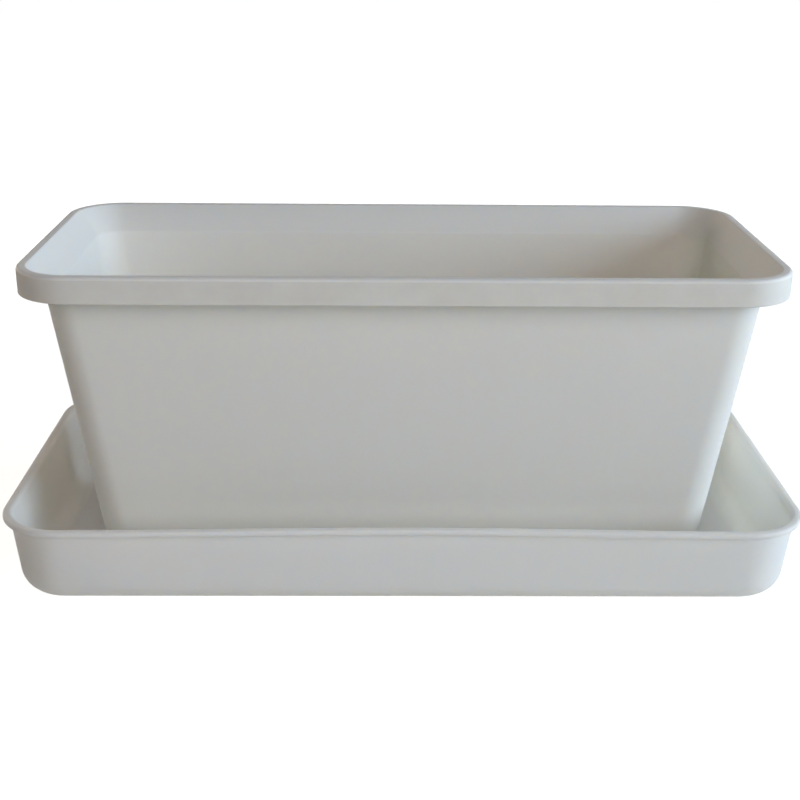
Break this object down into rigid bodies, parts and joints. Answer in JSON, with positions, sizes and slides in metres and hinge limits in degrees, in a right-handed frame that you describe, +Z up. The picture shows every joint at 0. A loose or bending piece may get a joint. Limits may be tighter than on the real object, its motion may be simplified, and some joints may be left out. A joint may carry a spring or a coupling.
{
  "type": "indoor herb planter",
  "caption": "Rectangular herb trough with tapered walls, drain holes and a flared, turned-down rim, standing loose in a shallow drip tray with a beaded lip.",
  "frame": {"origin": "centre of the drip tray's underside, on the surface that it stands on", "axes": "+X along the length, +Y to the back, +Z up"},
  "size_m": [0.432, 0.21, 0.1782],
  "materials": {
    "trough_plastic": "off-white moulded polypropylene, satin",
    "tray_plastic": "off-white moulded polypropylene, satin"
  },
  "bodies": {
    "tray": {"drip_tray": "tray_plastic"},
    "trough": {"planter_box": "trough_plastic"}
  },
  "joints": [
    {"name": "planter_lift", "type": "slide", "parent": "tray", "child": "trough", "axis": [0, 0, 1], "range_m": [0, 0.06]}
  ]
}
